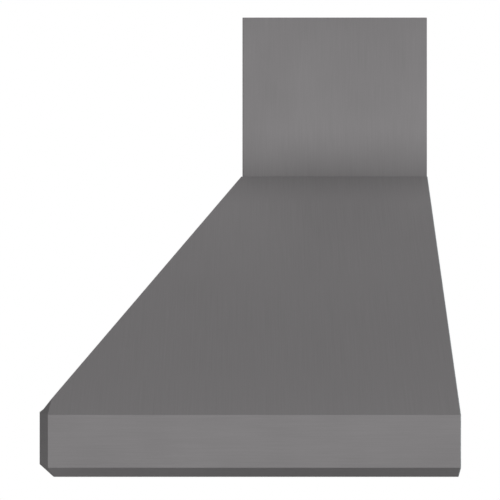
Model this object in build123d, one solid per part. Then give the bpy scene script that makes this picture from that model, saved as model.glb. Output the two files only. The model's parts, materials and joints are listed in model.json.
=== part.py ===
from build123d import *
import os
from math import atan2, cos, radians, sin, tan

# Wall-mounted canopy range hood, in millimetres. Z is up, the wall plane is y = 0, the front
# faces -Y, x = 0 is the middle and z = 0 is the lowest edge of the canopy.

# Canopy sheet metal
hood_width = 762.0
hood_depth = 609.6
band_height = 76.0
return_drop = 17.0
side_return_inset = 12.0
front_return_inset = 22.0
corner_chamfer = 17.0
corner_facet_rise = 21.0
side_ledge = 0.4
front_ledge = 2.5
top_ledge = 2.0
slope_height = 361.5
top_flange = 18.0
sheet = 1.2
bend = 2.0

# Duct cover and its wall bracket
cover_width = 381.0
cover_depth = 315.6
cover_height = 272.0
cover_rear_flange = 15.0
bracket_sheet = 2.0
bracket_height = 45.0
bracket_below_top = 25.0
bracket_hole_r = 3.5
bracket_hole_spacing = 220.0

# Wall fixing holes in the back panel
hang_hole_r = 4.5
hang_spacing_x = 300.0
hang_spacing_z = 200.0
hang_low_z = 160.0

# Outlet collar and damper
plate = 2.0
collar_r = 100.0
collar_sheet = 1.2
collar_height = 62.0
collar_flange = 15.0
rod_r = 2.5
rod_height = 24.0
knuckle_wall = 1.0
knuckle_length = 24.0
knuckle_inset = 29.5
flap_sheet = 0.8
flap_edge_gap = 1.2
stop_width = 16.0
stop_depth = 9.0
stop_sheet = 1.6

# Blower
wheel_r = 95.0
wheel_length = 172.0
wheel_z = 262.0
blade_depth = 15.0
blade_count = 36
blade_sweep = 13.0
blade_thickness_angle = 0.7
blade_belly_angle = 3.3
blade_hollow = 3.0
blade_tip_inset = 1.0
wheel_ring = 3.0
wheel_disc = 2.0
hub_r = 14.0
hub_length = 22.0
hub_nose = 4.0
scroll_width = 190.0
scroll_gap = 9.0
scroll_step = 16.0
tongue_angle = 75.0
tongue_r = 8.0
blower_sheet = 1.0
side_plate_rim = 6.0
outlet_z = 410.0
outlet_corner_r = 6.0
collar_flat = 2.0
inlet_overlap = 3.0
inlet_flange = 14.0
inlet_reach = 7.0
motor_r = 50.0
motor_inner_x = 14.0
motor_boss_r = 11.0
motor_boss = 10.0
motor_edge = 6.0
motor_nose_r = 24.0
motor_vents = 10
vent_width = 4.0
vent_length = 16.0
vent_depth = 4.0
shaft_r = 4.0
shaft_stub = 6.0
mount_sheet = 2.0
mount_arm = 16.0
mount_plate_r = 38.0
capacitor_r = 16.0
capacitor_length = 55.0
capacitor_offset = 118.0
capacitor_angle = -45.0
capacitor_edge = 2.0
terminal_r = 6.5
clamp_width = 12.0
clamp_sheet = 1.2
hanger_width = 20.0
hanger_leaf = 30.0
hanger_drop = 48.0
isolator_r = 9.0
isolator_height = 4.0

# Underside tray, rails and trough
sill_z = 32.0
sill_depth = 128.0
rail_leaf = 13.0
rail_top = 100.0
divider_width = 14.0
divider_bottom = 40.0
divider_sheet = 1.0
trough_depth = 45.0
trough_bottom = 10.0
trough_top = 31.0
trough_sheet = 1.0
trough_bend = 5.0

# Baffle filters
filter_slope = 4.0
filter_thickness = 22.0
filter_side_gap = 1.5
filter_front_gap = 4.5
filter_tail = 20.0
pivot_y = -60.0
pivot_z = 55.0
pin_r = 3.0
pin_length = 6.0
frame_sheet = 1.0
frame_corner = 3.0
side_border = 12.0
front_border = 24.0
rear_border = 14.0
slat_pitch = 52.0
lower_slat = 34.0
upper_slat = 30.0
slat_leg = 12.0
slat_sheet = 0.8
slat_bend = 1.6
drain_holes = 4
drain_length = 16.0
drain_width = 4.0
handle_span = 90.0
handle_drop = 24.0
handle_r = 3.0
handle_foot_r = 7.0
handle_foot = 2.0
handle_bend = 9.0
clip_width = 14.0
clip_spacing = 180.0
clip_nose = 9.0
clip_drop = 9.0
clip_foot = 11.0
clip_tail = 6.5
clip_tail_rise = 6.5
clip_lift = 1.2
clip_bend = 1.0
clip_sheet = 0.6

# Lamps and controls in the front sill
lamp_x = 250.0
lens_r = 27.0
lens_height = 2.0
lamp_body_r = 30.5
lamp_body_height = 26.0
lamp_core_r = 21.0
lamp_collar = 6.0
lamp_fin = 2.5
lens_step = 1.0
bezel_r = 37.0
bezel_height = 3.5
bezel_lip = 1.5
knob_x = 45.0
knob_r = 19.0
knob_grip_r = 16.0
knob_skirt = 4.0
knob_height = 20.0
knob_gap = 3.0
knob_edge = 1.0
knob_crown = 4.0
knob_flutes = 16
flute_r = 2.4
flute_depth = 1.0
pointer_width = 3.0
pointer_height = 1.2
pointer_inset = 3.0
bushing_r = 4.9
spindle_r = 3.0
nut_flats = 13.0
nut_height = 2.5
switch_size = 28.0
switch_height = 20.0
control_half = 95.0
control_depth = 84.0
control_height = 55.0
control_sheet = 0.8
control_lead_rise = 25.0

# Junction box and leads
box_side_gap = 9.0
box_z = 240.0
box_size = 80.0
box_depth = 45.0
knockout_r = 11.0
knockout_groove = 1.0
knockout_depth = 0.5
lead_r = 3.5
lead_run_share = 0.45
lead_exit = 45.0
lead_hump = 12.0
lead_rest = 2.4
lead_clips = 3
clip_block = 9.0
clip_wall = 2.0
clip_grip = 8.0

# Screws
screw_r = 2.0
screw_head_r = 4.0
screw_head = 2.4
screw_crown = 1.0
screw_crown_r = 2.8
collar_screws = 6
cover_screw_grip = 1.0

# Clearances: loose between still or sliding pieces, running for a pin that turns in a hole
slip = 0.3
running = 0.05

# How far a cutter runs past the face that it opens
cut = 1.0

# Levels and planes worked out from the sizes above
half_w = hood_width / 2
band_z = return_drop + band_height
top_z = band_z + slope_height
cover_top = top_z + cover_height
back_y = -sheet
return_x = half_w - side_return_inset
return_y = -(hood_depth - front_return_inset)
foot_x = half_w - side_ledge
foot_y = -(hood_depth - front_ledge)
duct_y = -cover_depth / 2
collar_in = collar_r - collar_sheet
plate_top = top_z + plate
rod_z = plate_top + rod_height
sill_top = sill_z + sheet
rail_y = return_y + sill_depth
lamp_y = return_y + sill_depth / 2
bay_x = return_x - rail_leaf
box_top = box_z + box_size / 2
slope_top_x = cover_width / 2 + top_ledge
slope_top_y = -(cover_depth + top_ledge)
side_lean = (foot_x - slope_top_x) / slope_height
box_x = foot_x - side_lean * (box_top - band_z) - 2 * sheet - box_side_gap - box_size / 2

# Blower layout: the scroll is three quarter turns about the corners of a small square
scroll_r1 = wheel_r + scroll_gap + scroll_step / 2
scroll_r2 = scroll_r1 + scroll_step
scroll_r3 = scroll_r2 + scroll_step
tongue_y = -scroll_step / 2 + (scroll_r1 + tongue_r) * cos(radians(tongue_angle))
tongue_z = -scroll_step / 2 + (scroll_r1 + tongue_r) * sin(radians(tongue_angle))
outlet_front = tongue_y + tongue_r
outlet_rear = scroll_step / 2 + scroll_r3
outlet_depth = outlet_rear - outlet_front
wheel_y = duct_y - (outlet_front + outlet_rear) / 2
side_x = scroll_width / 2 + blower_sheet
wheel_in = wheel_r - blade_depth
inlet_r = wheel_in - inlet_overlap
ring_x = side_x + blower_sheet
hanger_y = outlet_depth / 2 - hanger_width / 2
isolator_x = side_x + 2 * mount_sheet + hanger_leaf / 2

# Filter layout
filter_x0 = divider_width / 2 + filter_side_gap
filter_x1 = bay_x - filter_side_gap
filter_mid = (filter_x0 + filter_x1) / 2
filter_reach = pivot_y - rail_y - filter_front_gap


def slab(x0, x1, y0, y1, z0, z1):
    """Box between two corners."""
    size = Box(x1 - x0, y1 - y0, z1 - z0, align=(Align.MIN, Align.MIN, Align.MIN))
    return Pos(x0, y0, z0) * size


def rod_x(radius, x0, x1, y=0.0, z=0.0):
    """Round bar along X."""
    bar = Cylinder(radius, x1 - x0, align=(Align.CENTER, Align.CENTER, Align.MIN))
    return Pos(x0, y, z) * Rot(0, 90, 0) * bar


def rod_y(radius, y0, y1, x=0.0, z=0.0):
    """Round bar along Y."""
    bar = Cylinder(radius, y1 - y0, align=(Align.CENTER, Align.CENTER, Align.MIN))
    return Pos(x, y0, z) * Rot(-90, 0, 0) * bar


def rod_z_axis(radius, z0, z1, x=0.0, y=0.0):
    """Round bar along Z."""
    bar = Cylinder(radius, z1 - z0, align=(Align.CENTER, Align.CENTER, Align.MIN))
    return Pos(x, y, z0) * bar


def along_y(points, y0, y1):
    """Straight piece along Y with a cross-section given as (x, z) points."""
    face = Plane.XZ * Polygon(*points, align=None)
    return Pos(0, y0, 0) * extrude(face, amount=y1 - y0, dir=(0, 1, 0))


def folded(points, thickness, radius):
    """Face of a sheet folded along a line of points, with its thickness on the left of the line."""
    path = FilletPolyline(*points, radius=radius)
    return make_face(offset(path, amount=thickness, side=Side.LEFT))


def rounded_slab(x0, x1, y0, y1, z0, z1, radius, axis=Axis.Z):
    """Box between two corners with the edges along one axis rounded."""
    block = slab(x0, x1, y0, y1, z0, z1)
    return fillet(block.edges().filter_by(axis), radius)


def turned(points, place):
    """Round piece turned about Z from (radius, height) points, then put in place."""
    face = Plane.XZ * Polygon(*points, align=None)
    return place * revolve(face, axis=Axis.Z)


def outward(p, q, r, inside):
    """Plane through three points whose normal points away from the inside point."""
    a = Vector(*p)
    normal = (Vector(*q) - a).cross(Vector(*r) - a).normalized()
    if normal.dot(Vector(*inside) - a) > 0:
        normal = normal * -1
    return Plane(origin=a, z_dir=normal)


def carve(solid, planes, inset):
    """Keep what lies behind every plane after moving each one inwards by the inset."""
    for plane in planes:
        solid = split(solid, bisect_by=plane.offset(-inset), keep=Keep.BOTTOM)
    return solid


def group(pieces):
    """One node made of several separate solids."""
    solids = []
    for piece in pieces:
        solids.extend(piece.solids())
    return Compound(children=solids)


def mirrored(piece):
    """The same piece on the other side of the middle plane."""
    return mirror(piece, about=Plane.YZ)


def tube(points):
    """Electric lead along straight runs, each corner rounded as far as its two runs allow."""
    spots = [Vector(*point) for point in points]
    radii = []
    for a, b, c in zip(spots, spots[1:], spots[2:]):
        shorter = min((b - a).length, (c - b).length)
        half_turn = radians((b - a).get_angle(c - b)) / 2
        radii.append(lead_run_share * shorter / tan(half_turn))
    path = FilletPolyline(*points, radius=radii)
    start = Plane(origin=path @ 0, z_dir=path % 0)
    return sweep(start * Circle(lead_r), path=path)


def screw(length):
    """Pan head screw standing on z = 0 with its shank pointing down."""
    points = [(0, -length), (screw_r, -length), (screw_r, 0), (screw_head_r, 0)]
    points += [(screw_head_r, screw_head - screw_crown), (screw_crown_r, screw_head), (0, screw_head)]
    return turned(points, Pos(0, 0, 0))


# Lip band: upright band, inward return below it, upturned inner flange and the ledge on top
def band_planes():
    inside = (0, -hood_depth / 2, band_z * 0.8)
    y_edge = -(hood_depth - corner_chamfer)
    x_edge = half_w - corner_chamfer
    planes = [outward((0, -hood_depth, 0), (1, -hood_depth, 0), (0, -hood_depth, 1), inside)]
    low_front = (0, return_y, 0)
    planes.append(outward((0, -hood_depth, return_drop), (1, -hood_depth, return_drop), low_front, inside))
    for s in (-1, 1):
        side = (s * half_w, 0, return_drop)
        planes.append(outward(side, (s * half_w, 1, return_drop), (s * half_w, 0, band_z), inside))
        planes.append(outward(side, (s * half_w, 1, return_drop), (s * return_x, 0, 0), inside))
        near = (s * half_w, y_edge, return_drop)
        far = (s * x_edge, -hood_depth, return_drop)
        planes.append(outward(near, far, (s * half_w, y_edge, band_z), inside))
        planes.append(outward(near, far, (s * return_x, return_y, 0), inside))
    return planes


def lip_band():
    planes = band_planes()
    reach = hood_width
    outer = carve(slab(-reach, reach, -2 * hood_depth, back_y, 0, band_z), planes, 0)
    hollow = slab(-reach, reach, -2 * hood_depth, sheet, 0, band_z - sheet)
    hollow = carve(hollow, planes, sheet)
    mouth = slab(-return_x, return_x, return_y, sheet, -cut, band_z + cut)
    flange = slab(-return_x - sheet, return_x + sheet, return_y - sheet, back_y, 0, sill_z)
    return outer - hollow - mouth + ((flange - mouth) & outer)


# Sloped canopy: front and side panels mitred at the hips, with a bevel at the foot of each hip
def slope_planes():
    inside = (0, duct_y, band_z + slope_height / 3)
    planes = [outward((0, foot_y, band_z), (1, foot_y, band_z), (0, slope_top_y, top_z), inside)]
    rise = corner_facet_rise / slope_height
    for s in (-1, 1):
        foot = s * foot_x
        top_x = s * slope_top_x
        planes.append(outward((foot, 0, band_z), (foot, 1, band_z), (top_x, 0, top_z), inside))
        hip_x = foot + (top_x - foot) * rise
        hip_y = foot_y + (slope_top_y - foot_y) * rise
        near = (s * half_w, -(hood_depth - corner_chamfer), band_z)
        far = (s * (half_w - corner_chamfer), -hood_depth, band_z)
        planes.append(outward(near, far, (hip_x, hip_y, band_z + corner_facet_rise), inside))
    return planes


def slope_shell():
    planes = slope_planes()
    reach = hood_width
    outer = carve(slab(-reach, reach, -2 * hood_depth, back_y, band_z, top_z), planes, 0)
    hollow = slab(-reach, reach, -2 * hood_depth, sheet, band_z - cut, top_z - sheet)
    hollow = carve(hollow, planes, sheet)
    hole_x = cover_width / 2 - top_flange
    hole = slab(-hole_x, hole_x, -(cover_depth - top_flange), sheet, top_z - 2 * sheet, top_z + cut)
    return outer - hollow - hole


def mitre(s):
    """Plane through one hip that parts the front panel from a side panel, facing the front."""
    front_slope = atan2(slope_height, slope_top_y - foot_y)
    side_slope = atan2(slope_height, foot_x - slope_top_x)
    foot = (s * foot_x, foot_y, band_z)
    top = (s * slope_top_x, slope_top_y, top_z)
    inner = (s * (foot_x - sheet / sin(side_slope)), foot_y + sheet / sin(front_slope), band_z)
    return outward(foot, top, inner, (s * foot_x, 0, band_z))


def front_panel():
    piece = split(slope_shell(), bisect_by=mitre(1), keep=Keep.TOP)
    return split(piece, bisect_by=mitre(-1), keep=Keep.TOP)


def right_side_panel():
    return split(slope_shell(), bisect_by=mitre(1), keep=Keep.BOTTOM)


def left_side_panel():
    return split(slope_shell(), bisect_by=mitre(-1), keep=Keep.BOTTOM)


# Back panel with four hanging holes
def back_panel():
    right = [(return_x, 0), (half_w, return_drop), (half_w, band_z), (foot_x, band_z)]
    right.append((slope_top_x, top_z))
    left = [(-x, z) for x, z in reversed(right)]
    piece = along_y(right + left, back_y, 0)
    groove = rod_y(knockout_r, -knockout_depth, cut, box_x, box_z)
    piece -= groove - rod_y(knockout_r - knockout_groove, -sheet, 2 * cut, box_x, box_z)
    for x in (-hang_spacing_x / 2, hang_spacing_x / 2):
        for z in (hang_low_z, hang_low_z + hang_spacing_z):
            piece -= rod_y(hang_hole_r, back_y - cut, cut, x, z)
    return piece


# Top plate on the panel flanges
def blower_screw_points():
    points = []
    for x in (-isolator_x, isolator_x):
        for y in (duct_y - hanger_y, duct_y + hanger_y):
            points.append((x, y))
    return points


def collar_screw_points():
    ring = collar_r + collar_flange / 2
    points = []
    for i in range(collar_screws):
        turn = radians(360 / collar_screws * (i + 0.5))
        points.append((ring * cos(turn), duct_y + ring * sin(turn)))
    return points


def top_plate():
    edge = sheet + slip
    x = cover_width / 2 - edge
    piece = rounded_slab(-x, x, -cover_depth + edge, -edge, top_z, plate_top, bend)
    piece -= rod_z_axis(collar_in, top_z - cut, plate_top + cut, 0, duct_y)
    for px, py in blower_screw_points() + collar_screw_points():
        piece -= rod_z_axis(screw_r + running, top_z - cut, plate_top + cut, px, py)
    return piece


# Duct cover, its bracket and the screws that join them
def cover_screw_points():
    x = cover_width / 2 - cover_rear_flange / 2
    z = cover_top - bracket_below_top - bracket_height / 2
    return [(-x, z), (x, z)]


def duct_cover():
    x = cover_width / 2
    gap = x - cover_rear_flange
    path = [(gap, 0), (x, 0), (x, -cover_depth), (-x, -cover_depth), (-x, 0), (-gap, 0)]
    section = folded(list(reversed(path)), sheet, bend)
    piece = Pos(0, 0, top_z) * extrude(section, amount=cover_height, dir=(0, 0, 1))
    for px, pz in cover_screw_points():
        piece -= rod_y(screw_r + running, back_y - cut, cut, px, pz)
    return piece


def duct_cover_bracket():
    z1 = cover_top - bracket_below_top
    z0 = z1 - bracket_height
    web = cover_width / 2 - cover_rear_flange - slip
    end = cover_width / 2 - bend - slip
    piece = slab(-web, web, -bracket_sheet, 0, z0, z1)
    for s in (-1, 1):
        x0, x1 = sorted((s * (web - 2 * bracket_sheet), s * end))
        piece += slab(x0, x1, back_y - bracket_sheet, back_y, z0, z1)
        hole_x = s * bracket_hole_spacing / 2
        piece -= rod_y(bracket_hole_r, -3 * bracket_sheet, 1, hole_x, (z0 + z1) / 2)
    for px, pz in cover_screw_points():
        piece -= rod_y(screw_r + running, back_y - 2 * bracket_sheet, cut, px, pz)
    return piece


def duct_cover_screws():
    length = bracket_sheet + cover_screw_grip
    y = back_y - bracket_sheet
    pieces = []
    for px, pz in cover_screw_points():
        pieces.append(Pos(px, y, pz) * Rot(90, 0, 0) * screw(length))
    return group(pieces)


# Outlet collar with two damper flaps on one rod
def outlet_collar():
    rim = collar_r + collar_flange
    points = [(collar_in, 0), (rim, 0), (rim, collar_sheet), (collar_r, collar_sheet)]
    points += [(collar_r, collar_height), (collar_in, collar_height)]
    piece = turned(points, Pos(0, duct_y, plate_top))
    stop_top = rod_z - flap_sheet / 2
    for s in (-1, 1):
        y0, y1 = sorted((duct_y + s * (collar_in - stop_depth), duct_y + s * collar_r))
        stop = slab(-stop_width / 2, stop_width / 2, y0, y1, stop_top - stop_sheet, stop_top)
        piece += stop & rod_z_axis(collar_in + collar_sheet / 2, plate_top, rod_z, 0, duct_y)
    piece -= rod_x(rod_r + running, -2 * collar_r, 2 * collar_r, duct_y, rod_z)
    for px, py in collar_screw_points():
        piece -= rod_z_axis(screw_r + running, plate_top - cut, plate_top + 2 * collar_sheet, px, py)
    return piece


def collar_screw_group():
    pieces = []
    for px, py in collar_screw_points():
        place = Pos(px, py, plate_top + collar_sheet)
        pieces.append(place * screw(collar_sheet + plate))
    return group(pieces)


def damper_rod():
    half = collar_r - slip
    return rod_x(rod_r, -half, half, duct_y, rod_z)


def flap(s, knuckles):
    """Half disc on side s of the rod, with rolled knuckles centred on the given x places."""
    knuckle_r = rod_r + running + knuckle_wall
    edge = knuckle_r + slip
    disc_r = collar_in - flap_edge_gap
    z0 = rod_z - flap_sheet / 2
    z1 = rod_z + flap_sheet / 2
    piece = rod_z_axis(disc_r, z0, z1, 0, duct_y)
    y0, y1 = sorted((duct_y + s * edge, duct_y + s * 2 * disc_r))
    piece = piece & slab(-2 * disc_r, 2 * disc_r, y0, y1, z0 - cut, z1 + cut)
    for x in knuckles:
        x0 = x - knuckle_length / 2
        x1 = x + knuckle_length / 2
        y0, y1 = sorted((duct_y + s * rod_r, duct_y + s * (edge + knuckle_wall)))
        piece += slab(x0, x1, y0, y1, z0, z1)
        piece += rod_x(knuckle_r, x0, x1, duct_y, rod_z)
    piece -= rod_x(rod_r + running, -2 * disc_r, 2 * disc_r, duct_y, rod_z)
    return piece


def damper_flap_front():
    outer = collar_in - knuckle_inset
    return flap(-1, (-outer, outer))


def damper_flap_rear():
    inner = collar_in - knuckle_inset - knuckle_length - 2 * slip
    return flap(1, (-inner, inner))


# Blower housing
def scroll_face():
    """Inside of the scroll seen along X, as a face in (y, z) about the wheel axis."""
    c = scroll_step / 2
    top = outlet_z - wheel_z
    turn = 180 - tongue_angle
    lines = [
        Line((outlet_front, top), (outlet_front, tongue_z)),
        CenterArc((tongue_y, tongue_z), tongue_r, 0, tongue_angle - 180),
        CenterArc((-c, -c), scroll_r1, tongue_angle, turn),
        CenterArc((c, -c), scroll_r2, 180, 90),
        CenterArc((c, c), scroll_r3, 270, 90),
        Line((outlet_rear, c), (outlet_rear, top)),
        Line((outlet_rear, top), (outlet_front, top)),
    ]
    return make_face(Curve() + lines)


def scroll_outline(grow):
    """The scroll face grown sideways by a rim and cut level at the outlet."""
    top = outlet_z - wheel_z
    wide = offset(scroll_face(), amount=grow, kind=Kind.INTERSECTION)
    above = Pos(0, top + 2 * grow) * Rectangle(8 * wheel_r, 4 * grow)
    return wide - above


def beside_wheel(face, x0, x1):
    """Push a (y, z) face about the wheel axis out from x0 to x1."""
    return Pos(x0, wheel_y, wheel_z) * extrude(Plane.YZ * face, amount=x1 - x0)


def blower_scroll():
    half = scroll_width / 2
    strip = scroll_outline(blower_sheet) - scroll_face()
    return beside_wheel(strip, -half, half)


def blower_side(s):
    face = scroll_outline(side_plate_rim) - Circle(inlet_r + blower_sheet)
    x0, x1 = sorted((s * scroll_width / 2, s * side_x))
    return beside_wheel(face, x0, x1)


def inlet_ring(s):
    """Flared inlet ring on the outside of a side plate, reaching in to the wheel."""
    rim = inlet_r + inlet_flange
    t = blower_sheet
    points = [(inlet_r + t - slip, -inlet_reach), (inlet_r - slip, -inlet_reach)]
    points += [(inlet_r - slip, -t), (inlet_r + 2 * t, t), (rim, t), (rim, 0)]
    points += [(inlet_r + t - slip, 0)]
    turn = Rot(0, 90, 0) if s > 0 else Rot(0, -90, 0)
    return turned(points, Pos(s * side_x, wheel_y, wheel_z) * turn)


def outlet_transition():
    """Square-to-round duct: four flat sides between four bent corners, all of straight lines."""
    shells = []
    for grow in (blower_sheet, 0.0):
        wide = scroll_width + 2 * grow
        deep = outlet_depth + 2 * grow
        r = collar_in + grow
        base = Pos(0, duct_y, outlet_z) * RectangleRounded(wide, deep, outlet_corner_r + grow)
        cap = Pos(0, duct_y, top_z) * RectangleRounded(2 * r, 2 * r, r - collar_flat / 2)
        shells.append(loft([base, cap], ruled=True))
    return shells[0] - shells[1]


# Impeller: two rings and a middle disc joined by forward-curved blades
def blade_face():
    tip = radians(blade_sweep)
    mid_r = (wheel_in + wheel_r) / 2 - blade_hollow
    bulge = radians(blade_belly_angle)
    arcs = []
    for lead in (0.0, radians(blade_thickness_angle)):
        root = (wheel_in * cos(lead), wheel_in * sin(lead))
        middle = (mid_r * cos(bulge + lead), mid_r * sin(bulge + lead))
        end_r = wheel_r - blade_tip_inset
        end = (end_r * cos(tip + lead), end_r * sin(tip + lead))
        arcs.append(ThreePointArc(root, middle, end))
    ends = [Line(arcs[0] @ 0, arcs[1] @ 0), Line(arcs[0] @ 1, arcs[1] @ 1)]
    return make_face(Curve() + arcs + ends)


def impeller():
    half = wheel_length / 2
    face = blade_face()
    blades = Sketch() + [Rot(0, 0, 360 / blade_count * i) * face for i in range(blade_count)]
    ring = Circle(wheel_r) - Circle(wheel_in)
    piece = beside_wheel(blades, -half + wheel_ring, half - wheel_ring)
    piece += beside_wheel(ring, -half, -half + wheel_ring)
    piece += beside_wheel(ring, half - wheel_ring, half)
    disc_r = (wheel_in + wheel_r) / 2
    piece += beside_wheel(Circle(disc_r), -wheel_disc / 2, wheel_disc / 2)
    piece += rod_x(hub_r, wheel_disc / 2 - hub_length, wheel_disc / 2 + hub_nose, wheel_y, wheel_z)
    return piece - rod_x(shaft_r + running, -half, half, wheel_y, wheel_z)


def shaft_span():
    return wheel_disc / 2 - hub_length - shaft_stub, motor_inner_x + (ring_x - motor_inner_x) / 2


def motor_shaft():
    x0, x1 = shaft_span()
    return rod_x(shaft_r, x0, x1, wheel_y, wheel_z)


def motor():
    """Round motor with a stepped nose, rounded ends and cooling slots round its outer end."""
    end = ring_x - motor_inner_x
    edge = motor_edge
    points = [(0, 0), (motor_nose_r, 0), (motor_nose_r, edge), (motor_r - edge, edge)]
    points += [(motor_r, 2 * edge), (motor_r, end - edge), (motor_r - edge, end)]
    points += [(motor_boss_r, end), (motor_boss_r, end + motor_boss), (0, end + motor_boss)]
    piece = turned(points, Pos(motor_inner_x, wheel_y, wheel_z) * Rot(0, 90, 0))
    x1 = ring_x - 2 * edge
    half = vent_width / 2
    slot = slab(x1 - vent_length, x1, -half, half, motor_r - vent_depth, 2 * motor_r)
    for i in range(motor_vents):
        piece -= Pos(0, wheel_y, wheel_z) * Rot(360 / motor_vents * i, 0, 0) * slot
    return piece - rod_x(shaft_r + running, 0, shaft_span()[1] + slip, wheel_y, wheel_z)


def motor_mount():
    """Three-armed plate that carries the motor on the right inlet ring."""
    reach = inlet_r + inlet_flange
    arm = Pos(reach / 2, 0) * Rectangle(reach, mount_arm)
    face = Circle(mount_plate_r) + [Rot(0, 0, 90 + 120 * i) * arm for i in range(3)]
    face -= Circle(motor_boss_r + slip)
    return beside_wheel(face, ring_x, ring_x + mount_sheet)


def capacitor_place():
    turn = radians(capacitor_angle)
    return wheel_y + capacitor_offset * cos(turn), wheel_z + capacitor_offset * sin(turn)


def capacitor():
    y, z = capacitor_place()
    r = capacitor_r
    edge = capacitor_edge
    points = [(0, 0), (r, 0), (r, capacitor_length - edge), (r - edge, capacitor_length)]
    points += [(terminal_r, capacitor_length), (terminal_r, capacitor_length + edge)]
    points += [(0, capacitor_length + edge)]
    return turned(points, Pos(-side_x, y, z) * Rot(0, -90, 0))


def capacitor_clamp():
    y, z = capacitor_place()
    outer = capacitor_r + clamp_sheet
    piece = rod_x(outer, -side_x - clamp_width, -side_x, y, z)
    foot = outer + clamp_width
    piece += slab(-side_x - clamp_sheet, -side_x, y - clamp_width / 2, y + clamp_width / 2, z - foot, z)
    return piece - rod_x(capacitor_r, -side_x - 2 * clamp_width, 0, y, z)


def hanger(s, y):
    """Angle bracket on a doubler plate, from a scroll side plate up to an isolator under the top plate."""
    z0 = outlet_z - hanger_drop
    z1 = top_z - isolator_height
    y0 = y - hanger_width / 2
    y1 = y + hanger_width / 2
    leaf_x = side_x + mount_sheet
    wing_x = leaf_x + mount_sheet + hanger_leaf
    piece = slab(side_x, leaf_x, y0, y1, z0, outlet_z)
    piece += slab(leaf_x, leaf_x + mount_sheet, y0, y1, z0, z1)
    piece += slab(leaf_x, wing_x, y0, y1, z1 - mount_sheet, z1)
    piece -= rod_z_axis(screw_r + running, z1 - 3 * mount_sheet, z1 + cut, isolator_x, y)
    return piece if s > 0 else mirrored(piece)


def blower_hangers(s):
    return group([hanger(s, duct_y - hanger_y), hanger(s, duct_y + hanger_y)])


def blower_isolators():
    pieces = []
    for x, y in blower_screw_points():
        pad = rod_z_axis(isolator_r, top_z - isolator_height, top_z, x, y)
        pieces.append(pad - rod_z_axis(screw_r + running, 0, 2 * top_z, x, y))
    return group(pieces)


def blower_screws():
    length = plate + isolator_height + mount_sheet
    pieces = []
    for x, y in blower_screw_points():
        pieces.append(Pos(x, y, plate_top) * screw(length))
    return group(pieces)


# Underside: front sill, side rails, divider and grease trough
def front_sill():
    x = return_x + sheet
    piece = slab(-x, x, return_y - sheet, rail_y, sill_z, sill_top)
    inner = return_x - slip
    piece += slab(-inner, inner, rail_y - sheet, rail_y, sill_z, rail_top)
    for s in (-1, 1):
        piece -= rod_z_axis(lamp_body_r + slip, 0, 2 * sill_z, s * lamp_x, lamp_y)
        piece -= rod_z_axis(bushing_r + slip, 0, 2 * sill_z, s * knob_x, lamp_y)
    return piece


def pin_notch(x0, x1):
    """Open-topped notch that a filter pin drops into."""
    r = pin_r + running
    return slab(x0, x1, pivot_y - r, pivot_y + r, pivot_z, 2 * rail_top) + rod_x(
        r, x0, x1, pivot_y, pivot_z
    )


def right_rail():
    piece = slab(bay_x, return_x + sheet, rail_y, back_y, sill_z, sill_top)
    piece += slab(bay_x, bay_x + sheet, rail_y, back_y, sill_z, rail_top)
    return piece - pin_notch(bay_x - cut, bay_x + 2 * sheet)


def filter_divider():
    x = divider_width / 2
    t = divider_sheet
    piece = slab(-x, x, rail_y, back_y, divider_bottom, rail_top)
    piece -= slab(-x + t, x - t, rail_y - cut, 0, divider_bottom + t, rail_top + cut)
    return piece - pin_notch(-x - cut, x + cut)


def grease_trough():
    """Long tray with rounded lower edges and closed ends."""
    t = trough_sheet
    r = trough_bend
    y0 = back_y - trough_depth
    top = 2 * trough_top
    piece = rounded_slab(-return_x, return_x, y0, back_y, trough_bottom, top, r, Axis.X)
    end = return_x - t
    piece -= rounded_slab(-end, end, y0 + t, back_y - t, trough_bottom + t, top + r, r - t, Axis.X)
    return piece - slab(-hood_width, hood_width, -hood_depth, 0, trough_top, 2 * top)


# Baffle filters, built flat about the pivot and then tipped to their slope
def filter_place():
    return Pos(0, pivot_y, pivot_z) * Rot(-filter_slope, 0, 0)


def filter_frame():
    h = filter_thickness / 2
    t = frame_sheet
    r = frame_corner
    piece = rounded_slab(filter_x0, filter_x1, -filter_reach, filter_tail, -h, h, r)
    y0 = -filter_reach + front_border
    y1 = filter_tail - rear_border
    piece -= slab(filter_x0 + side_border, filter_x1 - side_border, y0, y1, -2 * h, 2 * h)
    back = filter_tail - t
    piece -= rounded_slab(filter_x0 + t, filter_x1 - t, -filter_reach + t, back, -h + t, h - t, r - t)
    hole = extrude(SlotOverall(drain_length, drain_width), amount=4 * t, both=True)
    for i in range(drain_holes):
        x = filter_x0 + (filter_x1 - filter_x0) * (i + 0.5) / drain_holes
        piece -= Pos(x, filter_tail - rear_border / 2, -h) * hole
    piece += rod_x(pin_r, filter_x0 - pin_length, filter_x0 + t)
    piece += rod_x(pin_r, filter_x1 - t, filter_x1 + pin_length)
    return filter_place() * piece


def slat(x, width, up):
    """One channel-shaped baffle; up is 1 when its legs point up and -1 when they point down."""
    low = -filter_thickness / 2 + frame_sheet
    w = width / 2
    path = [(-w, low + slat_leg), (-w, low), (w, low), (w, low + slat_leg)]
    section = [(x + up * px, up * pz) for px, pz in path]
    y0 = -filter_reach + frame_corner
    length = filter_tail - frame_corner - y0
    face = Plane.XZ * folded(section, slat_sheet, slat_bend)
    return Pos(0, y0, 0) * extrude(face, amount=length, dir=(0, 1, 0))


def filter_baffles():
    """Lower channels with upper channels turned over the gaps between them."""
    inside = filter_x1 - filter_x0 - 2 * frame_sheet
    count = int((inside - upper_slat) / slat_pitch)
    first = filter_mid - slat_pitch * (count - 1) / 2
    pieces = []
    for i in range(count):
        pieces.append(slat(first + slat_pitch * i, lower_slat, 1))
    for i in range(count + 1):
        pieces.append(slat(first + slat_pitch * (i - 0.5), upper_slat, -1))
    return filter_place() * group(pieces)


def handle_y():
    return -filter_reach + front_border / 2


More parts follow.
